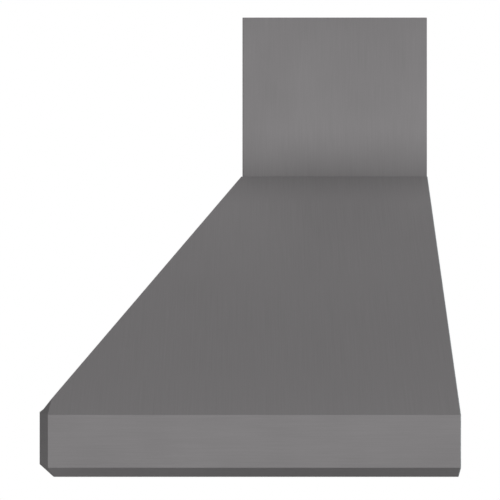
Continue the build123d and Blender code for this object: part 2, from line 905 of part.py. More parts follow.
def filter_handle():
    """Wire pull under the front edge of the filter, on two round feet."""
    z0 = -filter_thickness / 2
    half = handle_span / 2
    low = z0 - handle_drop
    y = handle_y()
    start = (filter_mid - half, y, z0 - handle_foot / 2)
    finish = (filter_mid + half, y, z0 - handle_foot / 2)
    path = FilletPolyline(
        start, (filter_mid - half, y, low), (filter_mid + half, y, low), finish, radius=handle_bend
    )
    piece = sweep(Plane(origin=path @ 0, z_dir=path % 0) * Circle(handle_r), path=path)
    for x in (filter_mid - half, filter_mid + half):
        piece += rod_z_axis(handle_foot_r, z0 - handle_foot, z0, x, y)
    return filter_place() * piece


def clip_nose_z():
    """Height that leaves the upper leg of a clip just under the front edge of the filter."""
    tip = radians(filter_slope)
    h = filter_thickness / 2
    corner_y = pivot_y - filter_reach * cos(tip) - h * sin(tip)
    corner_z = pivot_z + filter_reach * sin(tip) - h * cos(tip)
    leg_slope = clip_tail_rise / clip_tail
    return corner_z - (rail_y + clip_nose - corner_y) * leg_slope - clip_lift


def filter_clips():
    """Two bent spring strips on the front rail that hold the front edge of a filter up."""
    z = clip_nose_z()
    nose = rail_y + clip_nose
    root = z - clip_drop
    path = [(rail_y, root - clip_foot), (rail_y, root), (nose, z), (nose - clip_tail, z + clip_tail_rise)]
    strip = Plane.YZ * folded(list(reversed(path)), clip_sheet, clip_bend)
    pieces = []
    for x in (filter_mid - clip_spacing / 2, filter_mid + clip_spacing / 2):
        pieces.append(Pos(x - clip_width / 2, 0, 0) * extrude(strip, amount=clip_width, dir=(1, 0, 0)))
    return group(pieces)


# Lamps
def lamp_bodies():
    """Lamp cans with cooling fins, standing in the sill holes on top of the lenses."""
    base = sill_z - bezel_height + lens_height + slip
    r = lamp_body_r
    top = base + lamp_body_height
    step = lens_r + lens_step
    z = sill_z + lamp_collar
    points = [(0, base), (step, base), (step, sill_z), (r, sill_z), (r, z)]
    while z + 2 * lamp_fin < top:
        points += [(lamp_core_r, z), (lamp_core_r, z + lamp_fin), (r, z + lamp_fin), (r, z + 2 * lamp_fin)]
        z += 2 * lamp_fin
    points += [(0, z)]
    return group([turned(points, Pos(s * lamp_x, lamp_y, 0)) for s in (-1, 1)])


def lamp_lenses():
    z0 = sill_z - bezel_height + slip
    pieces = []
    for s in (-1, 1):
        pieces.append(rod_z_axis(lens_r, z0, z0 + lens_height, s * lamp_x, lamp_y))
    return group(pieces)


def lamp_bezels():
    z0 = sill_z - bezel_height
    lip = bezel_lip
    a = lens_r + slip
    b = lens_r + lens_step + slip
    seat = z0 + slip + lens_height
    points = [(lens_r - lip, z0), (bezel_r - lip, z0), (bezel_r, z0 + lip), (bezel_r, sill_z)]
    points += [(b, sill_z), (b, seat), (a, seat), (a, z0 + slip), (lens_r - lip, z0 + slip)]
    return group([turned(points, Pos(s * lamp_x, lamp_y, 0)) for s in (-1, 1)])


# Controls
def switch(x):
    half = switch_size / 2
    body = slab(x - half, x + half, lamp_y - half, lamp_y + half, sill_top, sill_top + switch_height)
    body += rod_z_axis(bushing_r, sill_z - nut_height, sill_top + cut, x, lamp_y)
    depth = sill_top + switch_height / 2 + slip
    return body - rod_z_axis(spindle_r + running, 0, depth, x, lamp_y)


def spindle(x):
    low = sill_z - knob_gap - knob_height + knob_crown
    return rod_z_axis(spindle_r, low, sill_top + switch_height / 2, x, lamp_y)


def knob_nuts():
    pieces = []
    for s in (-1, 1):
        face = RegularPolygon(nut_flats / 2, 6, major_radius=False) - Circle(bushing_r)
        pieces.append(Pos(s * knob_x, lamp_y, sill_z - nut_height) * extrude(face, amount=nut_height))
    return group(pieces)


def knob(x):
    """Skirted knob hanging under the sill, fluted round its grip, with a pointer bar on its end."""
    z1 = sill_z - knob_gap
    z0 = z1 - knob_height
    grip = knob_grip_r
    edge = knob_edge
    points = [(0, z1), (knob_r - edge, z1), (knob_r, z1 - edge), (knob_r, z1 - knob_skirt)]
    points += [(grip, z1 - knob_skirt - edge), (grip, z0 + 2 * edge), (grip - 2 * edge, z0), (0, z0)]
    piece = turned(points, Pos(x, lamp_y, 0))
    flute_top = z1 - knob_skirt - edge
    flute = rod_z_axis(flute_r, z0 - cut, flute_top, grip + flute_r - flute_depth, 0)
    for i in range(knob_flutes):
        piece -= Pos(x, lamp_y, 0) * Rot(0, 0, 360 / knob_flutes * (i + 0.5)) * flute
    half = pointer_width / 2
    piece += slab(x - half, x + half, lamp_y - grip + pointer_inset, lamp_y, z0 - pointer_height, z0 + edge)
    return piece - rod_z_axis(spindle_r, z0 + knob_crown, z1 + cut, x, lamp_y)


def control_box():
    t = control_sheet
    y0 = lamp_y - control_depth / 2
    y1 = lamp_y + control_depth / 2
    z1 = sill_top + control_height
    piece = slab(-control_half, control_half, y0, y1, sill_top, z1)
    piece -= slab(-control_half + t, control_half - t, y0 + t, y1 - t, sill_z, z1 - t)
    return piece


# Electrical supply
def junction_box():
    h = box_size / 2
    t = sheet
    y0 = back_y - box_depth
    piece = slab(box_x - h, box_x + h, y0, back_y, box_z - h, box_z + h)
    piece -= slab(box_x - h + t, box_x + h - t, y0 - cut, back_y - t, box_z - h + t, box_z + h - t)
    side = box_x + h
    groove = rod_x(knockout_r, side - knockout_depth, side + cut, y0 + box_depth / 2, box_z)
    return piece - (groove - rod_x(knockout_r - knockout_groove, 0, 2 * side, y0 + box_depth / 2, box_z))


def junction_box_cover():
    h = box_size / 2
    y1 = back_y - box_depth
    return slab(box_x - h, box_x + h, y1 - sheet, y1, box_z - h, box_z + h)


def motor_lead():
    """From the motor boss back along the blower and into the side of the junction box."""
    x0 = ring_x + motor_boss
    x1 = box_x - box_size / 2
    y1 = back_y - box_depth / 2
    step = (y1 - wheel_y) / 3
    points = [(x0, wheel_y, wheel_z), (x0 + lead_exit, wheel_y, wheel_z)]
    points += [(x0 + lead_exit, wheel_y + step, wheel_z), (x1 - lead_exit, y1 - step, box_z)]
    points += [(x1 - lead_exit, y1, box_z), (x1, y1, box_z)]
    return tube(points)


def rail_lead():
    """Line of the lead on the top edge of the right rail: its x, its two ends in y and its z."""
    front = rail_y + sill_depth
    rear = back_y - box_depth / 2 - sill_depth / 2
    return bay_x + sheet / 2, front, rear, rail_top + slip + lead_r


def control_lead():
    """From the control box over the front riser, along the right rail and up to the junction box."""
    x, front, rear, z = rail_lead()
    y1 = back_y - box_depth / 2
    low = sill_top + control_lead_rise
    high = z + lead_hump
    reach = sill_depth / 2
    points = [(control_half, lamp_y, low), (control_half + reach, lamp_y, low)]
    points += [(x - reach, lamp_y + lead_exit / 2, high), (x, rail_y + lead_exit, high)]
    points += [(x, front, z), (x, rear, z), (box_x + lead_exit, y1, high)]
    points += [(box_x, y1, high + lead_exit), (box_x, y1, box_z - box_size / 2)]
    return tube(points)


def lead_clip_group():
    """Edge clips that grip the top of the right rail and hold the lead on it; the slot opens the bore."""
    x, front, rear, z = rail_lead()
    bore = lead_r + slip
    half_slot = sheet / 2 + running
    half_block = half_slot + clip_wall
    first = front + lead_exit
    last = rear - lead_exit - 2 * clip_block
    pieces = []
    for i in range(lead_clips):
        y0 = first + (last - first) * i / (lead_clips - 1)
        y1 = y0 + clip_block
        block = rod_y(bore + clip_wall, y0, y1, x, z)
        block += slab(x - half_block, x + half_block, y0, y1, rail_top - clip_grip, z)
        block -= rod_y(bore, y0 - cut, y1 + cut, x, z)
        pieces.append(block - slab(x - half_slot, x + half_slot, y0 - cut, y1 + cut, 0, z))
    return group(pieces)


def lamp_leads():
    z = sill_top + lead_r + lead_rest
    pieces = []
    for s in (-1, 1):
        x0, x1 = sorted((s * control_half, s * (lamp_x - lamp_body_r)))
        pieces.append(rod_x(lead_r, x0, x1, lamp_y, z))
    return group(pieces)


def main():
    pieces = {
        "lip_band": lip_band(),
        "front_panel": front_panel(),
        "left_side_panel": left_side_panel(),
        "right_side_panel": right_side_panel(),
        "back_panel": back_panel(),
        "top_plate": top_plate(),
        "duct_cover": duct_cover(),
        "duct_cover_bracket": duct_cover_bracket(),
        "duct_cover_screws": duct_cover_screws(),
        "outlet_collar": outlet_collar(),
        "collar_screws": collar_screw_group(),
        "damper_rod": damper_rod(),
        "damper_flap_front": damper_flap_front(),
        "damper_flap_rear": damper_flap_rear(),
        "blower_scroll": blower_scroll(),
        "blower_side_left": blower_side(-1),
        "blower_side_right": blower_side(1),
        "inlet_ring_left": inlet_ring(-1),
        "inlet_ring_right": inlet_ring(1),
        "outlet_transition": outlet_transition(),
        "impeller": impeller(),
        "motor_shaft": motor_shaft(),
        "motor": motor(),
        "motor_mount": motor_mount(),
        "capacitor": capacitor(),
        "capacitor_clamp": capacitor_clamp(),
        "blower_hangers_left": blower_hangers(-1),
        "blower_hangers_right": blower_hangers(1),
        "blower_isolators": blower_isolators(),
        "blower_screws": blower_screws(),
        "front_sill": front_sill(),
        "right_rail": right_rail(),
        "left_rail": mirrored(right_rail()),
        "filter_divider": filter_divider(),
        "grease_trough": grease_trough(),
        "filter_right_frame": filter_frame(),
        "filter_right_baffles": filter_baffles(),
        "filter_right_handle": filter_handle(),
        "filter_right_clips": filter_clips(),
        "filter_left_frame": mirrored(filter_frame()),
        "filter_left_baffles": mirrored(filter_baffles()),
        "filter_left_handle": mirrored(filter_handle()),
        "filter_left_clips": mirrored(filter_clips()),
        "lamp_bodies": lamp_bodies(),
        "lamp_lenses": lamp_lenses(),
        "lamp_bezels": lamp_bezels(),
        "fan_switch": switch(-knob_x),
        "light_switch": switch(knob_x),
        "fan_spindle": spindle(-knob_x),
        "light_spindle": spindle(knob_x),
        "knob_nuts": knob_nuts(),
        "fan_knob": knob(-knob_x),
        "light_knob": knob(knob_x),
        "control_box": control_box(),
        "junction_box": junction_box(),
        "junction_box_cover": junction_box_cover(),
        "motor_lead": motor_lead(),
        "control_lead": control_lead(),
        "lamp_leads": lamp_leads(),
        "lead_clips": lead_clip_group(),
    }
    os.makedirs("parts", exist_ok=True)
    for name, shape in pieces.items():
        export_step(shape, f"parts/{name}.step")
        print(name, len(shape.solids()), round(shape.volume / 1000, 2), "cm3")


if __name__ == "__main__":
    main()
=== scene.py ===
# %% [markdown]
# # Dressing a wall-mounted range hood
#
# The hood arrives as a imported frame: every sheet, wheel and bracket is a solid in its own place, in
# metres, with the wall at y = 0, the front towards -Y and z = 0 at the lowest edge. This lesson
# adds what the bare solids lack: the camera of the photograph, a small studio, a finish for every
# piece, and the fittings that are too fine to model as solids.

# %% Load the frame
import json
from math import radians

import bmesh
import bpy
import numpy as np
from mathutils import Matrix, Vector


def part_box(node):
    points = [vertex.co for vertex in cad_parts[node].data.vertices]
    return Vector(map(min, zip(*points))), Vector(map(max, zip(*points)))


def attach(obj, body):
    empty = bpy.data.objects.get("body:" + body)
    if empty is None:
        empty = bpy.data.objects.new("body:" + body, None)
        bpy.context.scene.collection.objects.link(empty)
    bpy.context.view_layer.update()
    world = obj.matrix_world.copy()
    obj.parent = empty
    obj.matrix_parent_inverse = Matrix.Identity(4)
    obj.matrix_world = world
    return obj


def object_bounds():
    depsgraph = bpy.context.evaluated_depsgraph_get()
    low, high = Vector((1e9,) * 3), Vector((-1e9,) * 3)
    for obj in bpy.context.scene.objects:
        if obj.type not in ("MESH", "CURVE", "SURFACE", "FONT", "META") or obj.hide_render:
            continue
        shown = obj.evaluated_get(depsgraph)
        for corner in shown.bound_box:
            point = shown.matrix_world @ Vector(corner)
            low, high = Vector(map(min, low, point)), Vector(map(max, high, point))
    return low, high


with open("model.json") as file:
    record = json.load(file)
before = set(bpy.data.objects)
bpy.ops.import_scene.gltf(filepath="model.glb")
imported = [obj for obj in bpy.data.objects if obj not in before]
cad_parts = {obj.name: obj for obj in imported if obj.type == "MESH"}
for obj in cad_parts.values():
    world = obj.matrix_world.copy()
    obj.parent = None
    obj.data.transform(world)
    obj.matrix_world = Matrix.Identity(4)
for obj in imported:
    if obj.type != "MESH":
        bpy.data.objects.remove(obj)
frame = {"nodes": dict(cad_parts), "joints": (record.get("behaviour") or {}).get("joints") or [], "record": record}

mm = 0.001
cad_box = [[float(value) for value in corner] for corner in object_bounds()]
print("frame:", len(frame["nodes"]), "nodes between", cad_box)

# %% [markdown]
# ## The camera
#
# The photograph looks straight at the hood's right-hand side. Upright edges stay parallel and
# nothing of the top or the underside shows, so the camera is level and looks along -X. An
# orthographic camera would not do: the back of the hood is flat, yet in the picture it leans in
# from the lip to the narrower duct cover, which is farther away. With the cover's width of this
# model that lean gives the distance, about a metre from the lip. A 50 mm lens on a 36 mm sensor
# then fills the square picture as it is there.

# %% Camera
photo_px = 500
lens_mm = 50.0
sensor_mm = 36.0
lip_to_lens = 0.996
camera_y = -0.3027
camera_z = 0.3293

camera = bpy.data.objects.new("camera", bpy.data.cameras.new("camera"))
camera.data.lens = lens_mm
camera.data.sensor_width = sensor_mm
camera.location = (cad_box[1][0] + lip_to_lens, camera_y, camera_z)
# A new camera looks straight down: the first turn lifts it to the horizon, the last faces it to -X.
camera.rotation_euler = (radians(90), 0, radians(90))
bpy.context.scene.collection.objects.link(camera)
bpy.context.scene.camera = camera
bpy.context.scene.view_settings.view_transform = "Standard"
pixel_mm = lip_to_lens * sensor_mm / lens_mm / photo_px / mm
print(f"camera: a pixel covers {pixel_mm:.2f} mm of the lip band")

# %% [markdown]
# ## Helpers for colour and shader nodes
#
# Colours are written as sRGB hex values, as a paint program shows them, but a shader works with
# linear light, so one function converts them. A second one adds a shader node: each of its inputs
# is either a plain value or the node that feeds it. The third starts a material and gives the
# place in metres, so that every pattern can be sized from something real.

# %% Colours, nodes and new materials
def linear(code):
    """Linear RGBA of an sRGB hex colour: the standard curve, with its straight foot below 0.04."""
    srgb = np.array([int(code[i:i + 2], 16) for i in (1, 3, 5)]) / 255
    light = np.where(srgb > 0.04045, ((srgb + 0.055) / 1.055) ** 2.4, srgb / 12.92)
    return (*light.tolist(), 1.0)


def add(tree, kind, inputs=None, **settings):
    """Add a shader node; each input is a value, or the node or socket that feeds it."""
    made = tree.nodes.new("ShaderNode" + kind)
    for name, value in settings.items():
        setattr(made, name, value)
    for name, value in (inputs or {}).items():
        if isinstance(value, bpy.types.Node):
            value = value.outputs[0]
        if isinstance(value, bpy.types.NodeSocket):
            tree.links.new(value, made.inputs[name])
        else:
            made.inputs[name].default_value = value
    return made


def new_finish(name):
    """Empty material: the material, its node tree, and the place in metres that patterns follow."""
    material = bpy.data.materials.new(name)
    material.use_nodes = True
    material.node_tree.nodes.clear()
    return material, material.node_tree, add(material.node_tree, "TexCoord").outputs["Object"]


# A Mix node has sockets for numbers, for vectors and for colours; these are the ones for colours.
by, from_colour, to_colour, mixed_colour = 0, 6, 7, 2
print("colours: the grey #808080 is", round(linear("#808080")[0], 3), "in linear light")

# %% [markdown]
# ## Surfaces from grids
#
# Every new piece here is made in one way: work out all points of a surface at once as an array of
# rows and columns, then hand the array to Blender, which gets one face for each cell of the grid.
# Adding ready-made shapes and pushing their corners about would work too, but a formula says what
# the shape is. Where a grid closes on itself, as round a screw, its last column joins the first.

# %% Grid to mesh
same_point = 0.001 * mm
sharp_edge = radians(35)


def surface(name, points, wrap=False):
    """Object from grids of points (grid, row, column, xyz): each cell of a grid is one quad.

    With wrap the last column joins the first. Points that coincide, as at a pole, are merged, and
    then the faces of a closed shape are turned outwards.
    """
    points = np.asarray(points, float)
    points = points.reshape((-1,) + points.shape[-3:])
    grids, rows, columns = points.shape[:3]
    number = np.arange(grids * rows * columns).reshape(grids, rows, columns)
    if wrap:
        number = np.concatenate([number, number[:, :, :1]], axis=2)
    near, far = number[:, :-1], number[:, 1:]
    quads = np.stack([near[..., :-1], near[..., 1:], far[..., 1:], far[..., :-1]], -1)
    mesh = bpy.data.meshes.new(name)
    mesh.from_pydata(points.reshape(-1, 3).tolist(), [], quads.reshape(-1, 4).tolist())
    shape = bmesh.new()
    shape.from_mesh(mesh)
    bmesh.ops.remove_doubles(shape, verts=shape.verts, dist=same_point)
    if all(edge.is_manifold for edge in shape.edges):
        bmesh.ops.recalc_face_normals(shape, faces=shape.faces)
    shape.to_mesh(mesh)
    shape.free()
    mesh.shade_smooth()
    mesh.set_sharp_from_angle(angle=sharp_edge)
    made = bpy.data.objects.new(name, mesh)
    bpy.context.scene.collection.objects.link(made)
    return made


print(f"surfaces: points within {same_point / mm} mm of each other become one")

# %% [markdown]
# ## The world
#
# Brushed steel has no colour of its own: it shows a blurred picture of whatever stands in front of
# it. In the photograph the upright sides are one even grey, the sloped panel is a step darker and
# the narrow bevels are darker still, so the room behind the camera must be bright, the ceiling a
# little darker, and the floor and the front of the room darker again. The bright room and the
# background come from a plain white world. A Light Path node tells rays that look at it from rays
# that only carry its light, so it can be white to look at without flooding the hood.

# %% World
fill_strength = 0.62


def seen_rays(tree):
    """1 for rays that look at a thing or mirror it, 0 for those that only carry its light."""
    ray = add(tree, "LightPath").outputs
    looked = add(tree, "Math", {0: ray["Is Camera Ray"], 1: ray["Is Glossy Ray"]}, operation="MAXIMUM")
    return add(tree, "Math", {0: looked, 1: ray["Is Transmission Ray"]}, operation="MAXIMUM")


world = bpy.data.worlds.new("studio")
bpy.context.scene.world = world
world.use_nodes = True
tree = world.node_tree
tree.nodes.clear()
soft_light = add(tree, "Background", {"Color": linear("#ffffff"), "Strength": fill_strength})
white = add(tree, "Background", {"Color": linear("#ffffff"), "Strength": 1.0})
shown = add(tree, "MixShader", {"Fac": seen_rays(tree), 1: soft_light, 2: white})
add(tree, "OutputWorld", {"Surface": shown})
print("world: white where it is seen,", fill_strength, "as bright where it only lights")

# %% [markdown]
# ## Cards to mirror
#
# Lamps alone leave metal flat: it needs large, even things to mirror. A photographer hangs plain
# cards round shiny objects, out of the picture, each where one face mirrors it, and so does this
# studio. The ceiling darkens towards its end, which keeps the foot of the slope as grey as its top.
# The front card darkens upwards: the small facets at the feet of the hips mirror a higher part of
# it than the upright bevels below them, and in the photograph both are about as dark.

# %% Cards
def plain_card(name, centre, along, across, start, end=None):
    """Flat card: centre + u * along + v * across, for u and v from -1 to 1.

    It is lit in the colour start, or from start to the colour end along u where there is an end.
    """
    centre, along, across = np.array(centre), np.array(along), np.array(across)
    u, v = np.meshgrid(np.linspace(-1, 1, 5), np.linspace(-1, 1, 5), indexing="ij")
    card = surface(name, centre + u[..., None] * along + v[..., None] * across)
    material, tree, place = new_finish(name)
    grey = linear(start)
    if end:
        step = along / (along @ along)
        middle = centre @ step
        run = add(tree, "VectorMath", {0: place, 1: step}, operation="DOT_PRODUCT").outputs["Value"]
        share = add(tree, "MapRange", {"Value": run, "From Min": middle - 1, "From Max": middle + 1})
        grey = add(tree, "Mix", {by: share, from_colour: linear(start), to_colour: linear(end)},
                   data_type="RGBA").outputs[mixed_colour]
    glow = add(tree, "Emission", {"Color": grey, "Strength": 1.0})
    add(tree, "OutputMaterial", {"Surface": glow})
    card.data.materials.append(material)
    card.visible_camera = False
    card.visible_shadow = False
    card.visible_diffuse = False
    print(name, "lit from", start, "to", end or start)


# %% Ceiling and front of the room
studio_y = -0.3
ceiling_z = 2.6
ceiling_half_y = 3.2
ceiling_from, ceiling_bend, ceiling_to = -2.2, 1.5, 3.8
ceiling = (("ceiling_card", ceiling_from, ceiling_bend, None),
           ("ceiling_end_card", ceiling_bend, ceiling_to, "#7e7e7e"))
for name, x0, x1, end in ceiling:
    centre = ((x0 + x1) / 2, studio_y, ceiling_z)
    plain_card(name, centre, ((x1 - x0) / 2, 0, 0), (0, ceiling_half_y, 0), "#dfdfdf", end)
front_y, front_z = -2.9, 0.5
upwards, sideways = (0, 0, 1.7), (2.4, 0, 0)
plain_card("front_card", (0, front_y, front_z), upwards, sideways, "#cfcfcf", "#6c6c6c")

# %% [markdown]
# ## Floor and lamps
#
# A pale floor lies well below the hood and takes its soft shadow; under the hood its colour is also painted
# greyer, as painted shade. A real studio rolls paper up behind the object to hide the horizon; here the floor
# fades to white before its edge, which does the same from every side. The lamps are two large squares, as
# softboxes are: small ones would draw hard shadows and hot spots on satin steel.

# %% Floor
floor_z = -1.2
floor_r = 2.8
white_from, white_to = 1.6, 2.7
shade_from, shade_to = 0.45, 1.0
# A disc: the distance from its middle runs down the rows of the grid, the angle along the columns.
r, turn = np.meshgrid(np.linspace(0, floor_r, 25), np.linspace(2 * np.pi, 0, 73), indexing="ij")
floor = surface("floor", np.stack([r * np.cos(turn), r * np.sin(turn) + studio_y, floor_z + 0 * r], -1))
material, tree, place = new_finish("floor_paint")
middle = (0, studio_y, floor_z)
reach = add(tree, "VectorMath", {0: place, 1: middle}, operation="DISTANCE").outputs["Value"]
fade = add(tree, "MapRange", {"Value": reach, "From Min": white_from, "From Max": white_to},
           interpolation_type="SMOOTHSTEP")
fade = add(tree, "Math", {0: fade, 1: seen_rays(tree)}, operation="MULTIPLY")
# Painted shade: the floor's colour is greyer in the middle, under the hood.
outer = add(tree, "MapRange", {"Value": reach, "From Min": shade_from, "From Max": shade_to},
            interpolation_type="SMOOTHSTEP")
pale = add(tree, "Mix", {by: outer, from_colour: linear("#c9c9c9"), to_colour: linear("#f0f0f0")},
           data_type="RGBA").outputs[mixed_colour]
paint = add(tree, "BsdfDiffuse", {"Color": pale})
white = add(tree, "Emission", {"Color": linear("#ffffff"), "Strength": 1.0})
shown = add(tree, "MixShader", {"Fac": fade, 1: paint, 2: white})
# Seen from below the floor is clear, so that the hood's underside can be looked at from anywhere.
under = add(tree, "NewGeometry").outputs["Backfacing"]
shown = add(tree, "MixShader", {"Fac": under, 1: shown, 2: add(tree, "BsdfTransparent")})
add(tree, "OutputMaterial", {"Surface": shown})
floor.data.materials.append(material)
print("floor:", -floor_z, "m below the lip")

# %% Lamps
softbox_size = 2.0


def softbox(name, location, aim, watts):
    """Square area lamp that faces a point: tipped from straight down, then turned about Z."""
    lamp = bpy.data.lights.new(name, "AREA")
    lamp.shape = "SQUARE"
    lamp.size = softbox_size
    lamp.energy = watts
    made = bpy.data.objects.new(name, lamp)
    made.location = location
    direction = np.array(aim) - np.array(location)
    tip = np.arccos(-direction[2] / np.linalg.norm(direction))
    turn = np.arctan2(direction[1], direction[0]) - np.pi / 2
    made.rotation_euler = (tip, 0, turn)
    bpy.context.scene.collection.objects.link(made)


hood_middle = (np.array(cad_box[0]) + np.array(cad_box[1])) / 2
softbox("top_box", location=(-0.5, -1.1, 2.3), aim=hood_middle, watts=14.0)
softbox("front_box", location=(-1.2, -2.3, 1.4), aim=hood_middle, watts=12.0)
print("lamps: two softboxes aimed at", hood_middle.round(2).tolist())

# %% [markdown]
# ## Brushed stainless steel
#
# The shell is stainless sheet with a satin finish: an abrasive belt has drawn millions of fine
# parallel scratches across it. They blur reflections, and at arm's length they show as faint
# streaks. These could come from an image, but a noise pattern that is stretched along the belt's
# direction needs no unwrapping and never repeats. A real scratch is under a tenth of a millimetre
# wide, which no pixel can show here, so the streaks are drawn about a millimetre wide. A second,
# much larger noise is the slight cloudiness of handled steel.
#
# A belt runs along the length of a sheet before it is bent, so each panel has its streaks in its own plane. The
# photograph darkens towards the corner where the duct cover stands on the canopy, more than these lights give. The
# rest is painted shade: the steel's colour is darkened towards that corner, fading over 85 mm up the cover and 50
# mm down the canopy.

# %% Brushed stainless sheet
cloud_mm = 160
scratch_mm = 0.2
satin_spread = 0.04
# How fast the painted shade in the crease fades with distance.
crease_shade_power = 1.5
# The sum of two noises bunches round 1, so this part of it is stretched over the whole scale.
sum_span = {"From Min": 0.7, "From Max": 1.3}


def brushed_steel(name, pale, dark, roughness, streak_mm, crease_shade=None):
    """Satin stainless; streak_mm is the size of one streak along X, Y and Z.

    The last argument paints shade into a crease: given as (height, reach, loss), it darkens the colour by the
    share loss at that height; what is lost at a distance is loss times a power of the part of reach that is still
    left.
    """
    material, tree, place = new_finish(name)
    streaks = [size * mm for size in streak_mm]
    drawn = add(tree, "Mapping", {"Vector": place, "Scale": streaks}, vector_type="TEXTURE")
    grain = add(tree, "TexNoise", {"Vector": drawn, "Scale": 1.0, "Detail": 3.0, "Roughness": 0.6})
    cloud = add(tree, "TexNoise", {"Vector": place, "Scale": 1 / (cloud_mm * mm), "Detail": 2.0})
    both = add(tree, "Math", {0: grain, 1: cloud}, operation="ADD")
    tone = add(tree, "MapRange", {"Value": both, **sum_span})
    colour = add(tree, "Mix", {by: tone, from_colour: linear(dark), to_colour: linear(pale)},
                 data_type="RGBA").outputs[mixed_colour]
    # Painted shade: the colour is darkened towards the crease at the given height, less and less with distance.
    if crease_shade:
        height, reach, loss = crease_shade
        level = add(tree, "SeparateXYZ", {0: place}).outputs["Z"]
        near = add(tree, "MapRange", {"Value": level, "From Min": height, "From Max": height + reach,
                                      "To Min": 1.0, "To Max": 0.0})
        near = add(tree, "Math", {0: near, 1: crease_shade_power}, operation="POWER")
        painted_shade_grey = (1 - loss, 1 - loss, 1 - loss, 1.0)
        colour = add(tree, "Mix", {by: near, from_colour: colour, to_colour: painted_shade_grey}, data_type="RGBA",
                     blend_type="MULTIPLY").outputs[mixed_colour]
    gloss = add(tree, "MapRange", {"Value": both, **sum_span, "To Min": roughness + satin_spread,
                                   "To Max": roughness - satin_spread})
    relief = add(tree, "Bump", {"Height": grain, "Strength": 0.1, "Distance": scratch_mm * mm})
    # Scratches shade each other at a flat glance, so satin steel whitens less there than a mirror.
    steel = add(tree, "BsdfPrincipled", {"Base Color": colour, "Metallic": 1.0, "Roughness": gloss,
                                         "Normal": relief, "Specular Tint": linear("#a0a0a0")})
    add(tree, "OutputMaterial", {"Surface": steel})
    return material


print("brushed sheet: clouds", cloud_mm, "mm across")

# %% Shell panels
# Palest tone, darkest tone and roughness.
shell_tone = ("#888687", "#838182", 0.42)
cover_tone = ("#8b898a", "#868485", 0.42)
# A streak in millimetres, across the belt and along it.
fine, long = 1.1, 70
seam_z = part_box("duct_cover")[0].z
# Painted shade in the crease where the duct cover stands on the canopy: its height, its reach up or down, and the
# share of brightness it takes off.
cover_crease_shade = (seam_z, 85 * mm, 0.31)
canopy_crease_shade = (seam_z, -50 * mm, 0.17)
cover_steel = brushed_steel("cover_brushed_steel", *cover_tone, (fine, fine, long), cover_crease_shade)
side_steel = brushed_steel("side_brushed_steel", *shell_tone, (long, fine, long), canopy_crease_shade)
front_steel = brushed_steel("front_brushed_steel", *shell_tone, (fine, long, long), canopy_crease_shade)
band_steel = brushed_steel("band_brushed_steel", *shell_tone, (long, long, fine))
print("shell: duct cover meets the canopy at", round(seam_z, 4), "m")

# %% Other stainless pieces
# Sills and trough: the same sheet, less handled, streaks along their length.
tray_tone = ("#9a9998", "#929190", 0.36)
tray_steel = brushed_steel("tray_brushed_steel", *tray_tone, (long, fine, fine))
rail_steel = brushed_steel("rail_brushed_steel", *tray_tone, (fine, long, fine))
# Baffles and their frames: bright annealed sheet, smoother, so it mirrors more of the room.
filter_steel = brushed_steel("bright_annealed_steel", "#b2b1ae", "#a6a5a2",
                             roughness=0.25, streak_mm=(0.9, 90, 0.9))
# Clips: hardened strip keeps a brownish grey from its heat treatment.
spring_steel = brushed_steel("hardened_spring_steel", "#8d877d", "#7d776d",
                             roughness=0.3, streak_mm=(0.8, 20, 20))
# Shafts: ground while turning, so the marks run round the bar.
shaft_tone = ("#a9a9a8", "#999998", 0.2)
shaft_steel = brushed_steel("ground_shaft_steel", *shaft_tone, (0.7, 40, 40))
spindle_steel = brushed_steel("ground_spindle_steel", *shaft_tone, (40, 40, 0.7))
print("stainless: sills, rails, filters, clips and shafts")

# %% [markdown]
# ## Galvanised steel
#
# The back panel, the blower housing and the electrical boxes are hot-dipped galvanised sheet. As
# the zinc bath cools on the steel it freezes into flat crystals, the spangle, each of which
# reflects a little differently. A plain noise would only be cloudy. A Voronoi pattern is the
# natural choice: it divides space into cells as crystals that grow from seeds do. Its random colour
# per cell sets the tone and the gloss of each crystal, and the distance to the cell's edge draws
# the faint boundary.

# %% Galvanised sheet
spangle_mm = 7
frost_mm = 2
frost_share = 0.35
zinc_relief_mm = 0.3


def galvanised_steel(name):
    """Zinc spangle: tone and gloss change from crystal to crystal, with a frosted noise over them."""
    material, tree, place = new_finish(name)
    size = 1 / (spangle_mm * mm)
    crystal = add(tree, "TexVoronoi", {"Vector": place, "Scale": size, "Randomness": 1.0})
    border = add(tree, "TexVoronoi", {"Vector": place, "Scale": size}, feature="DISTANCE_TO_EDGE")
    frost = add(tree, "TexNoise", {"Vector": place, "Scale": 1 / (frost_mm * mm), "Detail": 3.0})
    tone = add(tree, "SeparateColor", {0: crystal.outputs["Color"]}).outputs["Red"]
    frosted = add(tree, "Math", {0: frost, 1: frost_share, 2: tone}, operation="MULTIPLY_ADD")
    step = add(tree, "MapRange", {"Value": frosted, "From Min": 0.1, "From Max": 1.2})
    colour = add(tree, "Mix", {by: step, from_colour: linear("#8d9294"), to_colour: linear("#a9adaf")},
                 data_type="RGBA").outputs[mixed_colour]
    line = add(tree, "MapRange", {"Value": border, "From Max": 0.05, "To Min": 0.4, "To Max": 0.0})
    colour = add(tree, "Mix", {by: line, from_colour: colour, to_colour: linear("#7f8486")},
                 data_type="RGBA").outputs[mixed_colour]
    gloss = add(tree, "MapRange", {"Value": step, "To Min": 0.52, "To Max": 0.36})
    relief = add(tree, "Bump", {"Height": frosted, "Strength": 0.15, "Distance": zinc_relief_mm * mm})
    zinc = add(tree, "BsdfPrincipled", {"Base Color": colour, "Metallic": 1.0, "Roughness": gloss,
                                        "Normal": relief})
    add(tree, "OutputMaterial", {"Surface": zinc})
    return material


zinc_sheet = galvanised_steel("hot_dip_galvanised_steel")
print("galvanised sheet: spangle of", spangle_mm, "mm")

